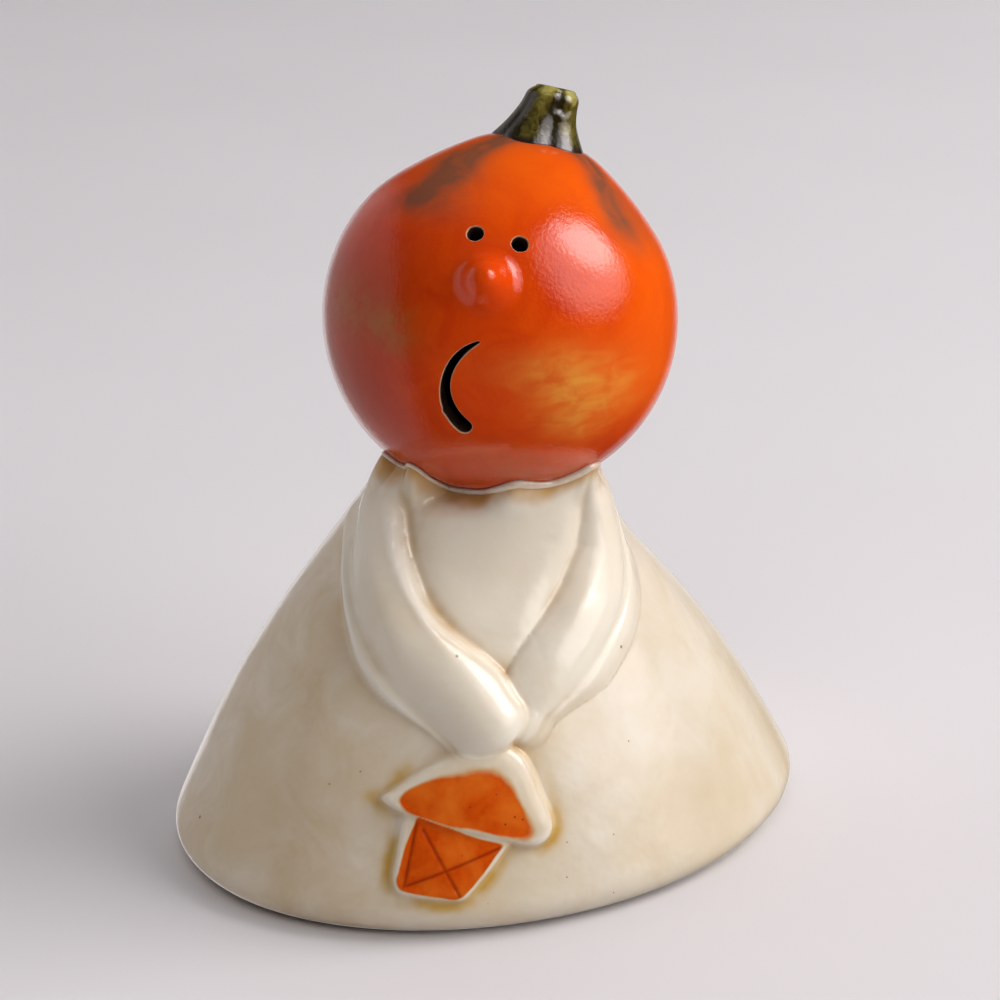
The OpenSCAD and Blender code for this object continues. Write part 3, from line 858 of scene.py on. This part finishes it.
cream = cream_glaze("cream_glaze")
lantern_glaze = cream_glaze("lantern_glaze")
orange_skin, green_skin, bead_skin = orange_glaze(), green_glaze(), bead_glaze()
rim_clay = bare_clay("rim_clay", (0.66, 0.42, 0.28), (0.50, 0.24, 0.13), 1.0)
# The inside is painted near black as shade, far darker than the bare clay at the rims.
inside_shade_clay = bare_clay("inside_shade_clay", (0.07, 0.035, 0.02), (0.04, 0.02, 0.012), 3.0)


# ---- dress and reliefs
def build_dress():
    relief = inside_only(cell_label != 0)
    top = grid_point - base_normal * (relief * (height + 0.35))[..., None]
    keep = coarse_lines(columns, (0, fine_columns))
    az = azimuth_lines[keep]
    seam = seam_height(az)
    passage_z = HEAD_CENTRE[2] - math.sqrt((HEAD_RADIUS + 0.1) ** 2 - NECK_RADIUS**2)
    inner_rows = [ball_point(az, seam + (passage_z - seam) * k, 0.1) for k in (0, 0.2, 0.45, 0.7, 1)]
    mouth = HEAD_CENTRE[:2] + NECK_RADIUS * way_round(az - math.pi / 2)
    inner_rows.append(np.column_stack([mouth, np.full_like(az, CAVITY_TOP)]))
    inner_v = (62.5, 58, 50, 42, 34, 26, 18, 11, 6, 2, -1, -4, -7, HEM_STEP)
    inner_rows += [wall_point(az, np.full_like(az, v), -DRESS_WALL) for v in inner_v]
    points = np.concatenate([top.reshape(-1, 3), np.concatenate(inner_rows)])
    n, first = len(keep), rows * columns
    ids = [[(rows - 1) * columns + c for c in keep]]
    ids += [[first + i * n + j for j in range(n)] for i in range(len(inner_rows))]
    ids.append(keep)
    inside = [
        [a[j], a[(j + 1) % n], b[(j + 1) % n], b[j]]
        for a, b in zip(ids, ids[1:]) for j in range(n)
    ]
    used, faces = only_used(cells + inside)
    normals = np.concatenate([grid_normal.reshape(-1, 3), np.tile([0.0, 0.0, 1.0], (len(points) - first, 1))])
    none = np.zeros(len(points) - first)
    values = {k: np.append(v.reshape(-1), none)[used] for k, v in surface_values.items()}
    values["collar_drop"][used >= first] = 50
    dress = make_mesh(
        "dress_shell_glazed", points[used], faces, normals[used],
        np.arange(len(faces)) < len(cells), values,
    )
    finish_piece(dress, "dress_shell", "cream_glaze", cream, inside_shade_clay)
    dress.data.polygons.foreach_set("material_index", (np.arange(len(faces)) >= len(cells)).astype(np.int32))


def build_reliefs():
    under = base_point - base_normal * 0.15
    none = np.zeros((rows, columns))
    panel = cell_orange & (cell_label >= PARTS.index("lantern_roof"))
    below_panel = inside_only(panel) * (GLAZE + 0.15)
    for number, part in enumerate(PARTS[1:], 1):
        sunk = below_panel if part.startswith("lantern") else none
        piece = relief_piece(part + "_glazed", cell_label == number, sunk, under)
        finish_piece(piece, part, "cream_glaze", cream)
    under = grid_point - base_normal * GLAZE
    for part, number in (("roof_panel", 5), ("window_panel", 6)):
        piece = relief_piece(part + "_glazed", panel & (cell_label == number), none, under)
        finish_piece(piece, part, "lantern_glaze", lantern_glaze)


build_dress()
build_reliefs()


# ---- head
def turned(axis, angle):
    return np.array(Matrix.Rotation(angle, 3, axis))


HEAD_TURN = turned("Y", HEAD_ROLL) @ turned("X", -HEAD_PITCH)


def face_frame(azimuth, rise):
    """The directions of x, y and straight out at a place on the face, as columns."""
    return HEAD_TURN @ turned("Z", azimuth) @ turned("X", math.pi / 2 - rise)


def head_radius(way):
    """Radius of the head in the directions way: a ball with slightly drawn-up shoulders."""
    local = way @ HEAD_TURN
    tilt = np.degrees(np.arccos(np.clip(local[..., 2], -1, 1)))
    drawn = 0.95 * bell(tilt - 13, 10) - 0.75 * bell(tilt - 40, 15)
    return HEAD_RADIUS + drawn + 0.16 * wobble(way * HEAD_RADIUS, 20, 21)


def head_normal(way):
    """Normal of the head's surface in the directions way."""
    side = unit(np.cross(way, np.where(np.abs(way[..., 2:]) < 0.9, [0.0, 0.0, 1.0], [1.0, 0.0, 0.0])))
    other = np.cross(way, side)
    e = 0.01

    def at(d):
        d = unit(d)
        return d * head_radius(d)[..., None]

    return unit(np.cross(at(way + e * side) - at(way - e * side), at(way + e * other) - at(way - e * other)))


def ball_mesh(name, radius, stacks, turns):
    """A closed ball about the head's centre, its poles on the head's axis."""
    tilt = np.linspace(0, math.pi, stacks + 1)[1:-1]
    turn = full_turn(turns)
    tt, pp = np.meshgrid(tilt, turn, indexing="ij")
    local = np.stack([np.sin(tt) * np.cos(pp), np.sin(tt) * np.sin(pp), np.cos(tt)], -1).reshape(-1, 3)
    way = np.concatenate([local, [[0, 0, 1], [0, 0, -1]]]) @ HEAD_TURN.T
    points = HEAD_CENTRE + way * (radius(way)[:, None] if callable(radius) else radius)
    return make_mesh(name, points, closed_faces(len(tilt), turns, True))


def drill(name, azimuth, rise, outline, depth=8.0):
    """A cutter through the head's wall, wider at the surface where the glaze draws back."""
    axes = face_frame(azimuth, rise)
    outline = np.array(outline)
    out = np.roll(outline, -1, axis=0) - np.roll(outline, 1, axis=0)
    out = unit(np.stack([out[:, 1], -out[:, 0]], -1))
    rings = [(-depth, 0.0), (-0.4, 0.0), (-0.22, 0.02), (-0.12, 0.05), (-0.05, 0.10), (0.0, 0.17), (1.6, 1.0)]
    points = []
    for rise_by, grow in rings:
        xy = outline + out * grow
        flat = xy[:, :1] * axes[:, 0] + xy[:, 1:] * axes[:, 1]
        surface = head_radius(unit(axes[:, 2] * HEAD_RADIUS + flat))
        z = np.sqrt((surface + rise_by) ** 2 - (xy**2).sum(1))
        points.append(HEAD_CENTRE + flat + z[:, None] * axes[:, 2])
    return make_mesh(name, np.concatenate(points), capped_faces(len(rings), len(outline)))


def mouth_outline():
    """A crescent that widens from its upper tip to its round lower end, with a tool nick."""
    t = np.linspace(0, 1, 49)
    angle = math.pi + MOUTH_SWEEP * (t - 0.5)
    half = (0.45 + (MOUTH_WIDTH - 0.45) * t**0.85) / 2 + 0.10 * np.sin(9 * t)
    nick = 0.28 * bell(t - 0.80, 0.022)
    centre = np.array([MOUTH_RADIUS - 3.3, 0.8])
    ray = way_round(angle)
    outer = centre + ray * (MOUTH_RADIUS + half + nick)[:, None]
    inner = centre + ray * (MOUTH_RADIUS - half)[:, None]

    def end(at, turn, steps):
        sweep = angle[at] + turn + math.pi * np.linspace(0, 1, steps)[1:-1]
        return centre + ray[at] * MOUTH_RADIUS + half[at] * way_round(sweep)

    return np.concatenate([outer, end(-1, 0, 13), inner[::-1], end(0, math.pi, 7)])


def eye_outline(seed):
    a = full_turn(48)
    r = EYE_RADIUS * (1 + 0.02 * np.sin(2 * a + seed) + 0.012 * np.sin(5 * a + 2 * seed))
    return r[:, None] * way_round(a)


def cut(piece, cutters):
    for cutter in cutters:
        modifier = piece.modifiers.new("cut", "BOOLEAN")
        modifier.operation, modifier.solver, modifier.object = "DIFFERENCE", "MANIFOLD", cutter
        bpy.context.view_layer.update()
        result = bpy.data.meshes.new_from_object(piece.evaluated_get(bpy.context.evaluated_depsgraph_get()))
        piece.modifiers.clear()
        piece.data = result
        bpy.data.objects.remove(cutter)


def head_values(way):
    """Where the head's glaze changes, by direction, with painted light and painted shade among the changes.
    """
    local = unit(way) @ HEAD_TURN
    tilt = np.degrees(np.arccos(np.clip(local[:, 2], -1, 1)))
    turn = np.degrees(np.arctan2(local[:, 0], -local[:, 1]))
    waver = 9 * wobble(way * HEAD_RADIUS, 9, 31)

    def streak(at, width, start, end):
        return bell(half_turn(turn - at - waver * 0.7), width) * ramp(-tilt, -end, -start)

    smoke = 1.3 * streak(-49, 15, 52, 66) + 1.2 * streak(51, 13, 42, 62)
    smoke += 0.6 * streak(150, 20, 18, 46) + 0.5 * streak(-140, 16, 20, 50) + 0.55 * bell(tilt - 13, 5)

    def patch(at, rise, width, tall):
        gap = half_turn(turn - at)
        return np.exp(-((gap / width) ** 2) - ((90 - tilt - rise + 0.3 * waver) / tall) ** 2)

    gold = patch(27, -9, 21, 8) + 0.7 * patch(30, -20, 16, 8) + 0.5 * patch(120, 4, 24, 12)
    bronze = patch(-36, -6, 8, 7) + 0.9 * patch(-58, -5, 19, 9) + 0.5 * patch(25, -45, 30, 10)
    bronze += patch(-160, -10, 26, 14)
    side = np.sin(np.radians(turn))
    # Painted light: brighter on the right side, which faces the key light, and on the top.
    lit_right_and_top = ramp(side, 0.31, 0.87) * ramp(-np.abs(tilt - 66), -60, -25) + ramp(-tilt, -62, -30)
    down = 90 - tilt
    # Painted shade: darker low down and on the left side, away from the key light.
    low = 0.6 * ramp(-down, 14, 62) + 0.85 * ramp(-side, 0.2, 0.87) * ramp(-np.abs(down + 12), -50, -10)
    values = {"smoke": smoke, "gold": gold, "bronze": bronze, "shade_low_and_left": low, "lit_right_and_top": lit_right_and_top}
    return {key: np.clip(value, 0, 1) for key, value in values.items()}


def build_head():
    head = ball_mesh("head_shell_glazed", head_radius, 180, 320)
    core = ball_mesh("core", HEAD_RADIUS - HEAD_WALL, 60, 96)
    ring = HEAD_CENTRE[:2] + NECK_RADIUS * way_round(full_turn(64))
    low, high = (np.column_stack([ring, np.full(64, z)]) for z in (HEAD_CENTRE[2] - 45, HEAD_CENTRE[2] - 15))
    neck = make_mesh("neck", np.concatenate([low, high]), capped_faces(2, 64))
    eye_turn = math.asin(EYE_SPACING / 2 / (HEAD_RADIUS * math.cos(EYE_RISE)))
    cutters = [core, neck, drill("mouth", FACE_TURN, -MOUTH_DROP, mouth_outline())]
    for seed, side in ((1, -1), (2, 1)):
        cutters.append(drill("eye", FACE_TURN + side * eye_turn, EYE_RISE, eye_outline(seed)))
    cut(head, cutters)

    mesh = head.data
    points = np.empty(len(mesh.vertices) * 3)
    mesh.vertices.foreach_get("co", points)
    way = points.reshape(-1, 3) / MM - HEAD_CENTRE
    distance = np.linalg.norm(way, axis=1)
    way = way / distance[:, None]
    depth = head_radius(way) - distance
    normals = head_normal(way)
    deepest = np.array([depth[list(p.vertices)].max() for p in mesh.polygons])
    facing = np.array([p.normal @ Vector(normals[p.vertices[0]]) for p in mesh.polygons])
    outer = (deepest < 0.02) & (facing > 0.9)
    rim = ~outer & (deepest < 0.42)
    set_normals(mesh, normals, outer)
    set_values(mesh, head_values(way))
    mesh.materials.clear()
    finish_piece(head, "head_shell", "orange_glaze", orange_skin, rim_clay, inside_shade_clay)
    mesh.polygons.foreach_set("material_index", np.where(outer, 0, np.where(rim, 1, 2)).astype(np.int32))


def build_nose():
    """A blunt knob melting into the head, closed underneath."""
    turns, rings = 96, 60
    axes = face_frame(FACE_TURN, NOSE_RISE)
    a = full_turn(turns)
    r = np.append(np.linspace(0.15, NOSE_RADIUS + 3.2, rings), (NOSE_RADIUS + 3.0, 3.0))[:, None]
    knob = (NOSE_LENGTH + 0.6) * np.exp(-((r / (NOSE_RADIUS - 0.7)) ** 3.0))
    knob = knob - 0.06 * ramp(r, NOSE_RADIUS + 1, NOSE_RADIUS + 3)
    h = np.where(np.arange(rings + 2)[:, None] < rings, knob, -1.2)
    x, y = r * np.cos(a), r * np.sin(a)
    way = unit(axes[:, 2] * HEAD_RADIUS + x[..., None] * axes[:, 0] + y[..., None] * axes[:, 1])
    z = np.sqrt(head_radius(way) ** 2 - x**2 - y**2) + h
    stack = np.stack([x, y, z], -1)
    points = np.concatenate([stack.reshape(-1, 3), [stack[0].mean(0), stack[-1].mean(0)]])
    points = HEAD_CENTRE + points @ axes.T
    faces = closed_faces(len(stack), turns, True)
    nose = make_mesh("nose_glazed", points, faces, values=head_values(points - HEAD_CENTRE))
    finish_piece(nose, "nose", "orange_glaze", orange_skin)


build_head()
build_nose()


# ---- stem and collar
STEM_PIT = math.radians(-66)


def build_stem():
    turns, rings = 120, 56
    a = full_turn(turns)
    t = np.linspace(0, 1, rings)[:, None]
    gore = np.abs(np.cos(2.5 * (a - 0.5)))[None]
    ridge = np.sqrt(gore**2 + 0.03) / math.sqrt(1.03)
    flute = (0.15 + 0.03 * np.sin(3 * a + 1)) * (1 - ridge) * (1 - 0.35 * t)
    radius = (5.5 + 4.2 * (1 - t) ** 2.3) * (1 - flute) * (1 - 0.22 * np.clip((t - 0.8) / 0.2, 0, 1) ** 2.4)
    facet = np.hypot((t - 0.68) * 11, ((a - STEM_PIT + math.pi) % (2 * math.pi) - math.pi) * 5)
    radius = radius - 0.55 * bell(facet, 1.0) + 0.15 * bell(facet - 1.7, 0.7)
    x, y = radius * np.cos(a) + 1.0 * t**1.5, radius * np.sin(a)
    way = unit(np.stack([x, y, np.full_like(x, HEAD_RADIUS)], -1)) @ HEAD_TURN.T
    foot = np.sqrt(np.maximum(head_radius(way) ** 2 - x**2 - y**2, 1))
    top_z = HEAD_RADIUS + STEM_LENGTH - 1.5
    z = foot * (1 - t) + top_z * t
    # The cut edge is round, and the cut top is a shallow dish.
    edge = [(0.95, 0.32), (0.88, 0.50), (0.79, 0.56), (0.68, 0.42), (0.56, 0.12), (0.40, -0.2), (0.2, -0.35)]
    layers = [np.stack([x, y, z], -1)]
    for share, up in edge:
        rim_x, rim_y = 1.0 + (x[-1:] - 1.0) * share, y[-1:] * share
        layers.append(np.stack([rim_x, rim_y, np.full((1, turns), top_z + up)], -1))
    under = [np.stack([x[:1] * s, y[:1] * s, foot[:1] - 0.9 - 2 * (1 - s)], -1) for s in (0.3, 0.7, 0.97)]
    stack = np.concatenate(under + layers)
    m = len(stack)
    stack = stack + 0.13 * wobble(stack, 3.2, 41)[..., None] * np.array([1, 1, 0.3])
    low, high = stack[0].mean(0), stack[-1].mean(0) - [0, 0, 0.06]
    points = HEAD_CENTRE + np.concatenate([stack.reshape(-1, 3), [low, high]]) @ HEAD_TURN.T
    rise = np.concatenate([np.zeros(3), np.linspace(0, 1, rings), np.ones(len(edge))])[:, None]
    ridge_value = np.broadcast_to(ridge, (m, turns)) * (0.55 + 0.45 * rise) + 0.35 * ramp(rise, 0.85, 1.0)
    foot_value = np.broadcast_to(bell(rise - 0.02, 0.06), (m, turns))
    values = {k: np.append(v.reshape(-1), [0, 0]) for k, v in (("ridge", ridge_value), ("foot", foot_value))}
    stem = make_mesh("stem_glazed", points, closed_faces(m, turns), values=values)
    finish_piece(stem, "stem", "green_glaze", green_skin)


def build_collar():
    """The slip bead along the seam, lying on the head and the shoulders."""
    steps, sides = 560, 14
    a = np.linspace(-math.pi, math.pi, steps, endpoint=False)
    z = seam_height(a)
    size = 0.80 * (1 + 0.22 * np.sin(3 * a + 0.6) + 0.12 * np.sin(11 * a))
    centre = ball_point(a, z, 0.42)
    out = unit(centre - HEAD_CENTRE)
    way = unit(np.roll(centre, -1, axis=0) - np.roll(centre, 1, axis=0))
    up = np.cross(out, way)
    b = full_turn(sides)
    c, s = np.cos(b)[:, None], np.sin(b)[:, None]
    ring = centre[:, None] + size[:, None, None] * (c * out[:, None] * 0.85 + s * up[:, None] * 1.05)
    faces = [[k % (steps * sides) for k in f] for f in ring_faces(steps + 1, sides)]
    # under: painted shade on the lower side of the bead.
    under = np.tile(np.clip(0.3 - 0.9 * np.sin(b) * np.sign(up[0, 2]), 0, 1), steps)
    bead = make_mesh("neck_collar_bead", ring.reshape(-1, 3), faces, values={"under": under})
    finish_piece(bead, "neck_collar", "slip_bead", bead_skin)


build_stem()
build_collar()


# ---- floor
def build_floor():
    n, reach = 24, 3.0
    line = np.linspace(-reach, reach, n + 1)
    points = [(x / MM, y / MM, 0.0) for y in line for x in line]
    corners = [i * (n + 1) + j for i in range(n) for j in range(n)]
    faces = [[k, k + 1, k + n + 2, k + n + 1] for k in corners]
    floor = make_mesh("floor", points, faces)
    t = Glaze("floor_paper")
    t.colour = t.mix(t.scaled(t.noise(160, 2), 0.3, 0.7), (0.72, 0.70, 0.725), (0.70, 0.68, 0.705))
    floor.data.materials.append(t.surface(0.7))
    floor.visible_glossy = False


build_floor()
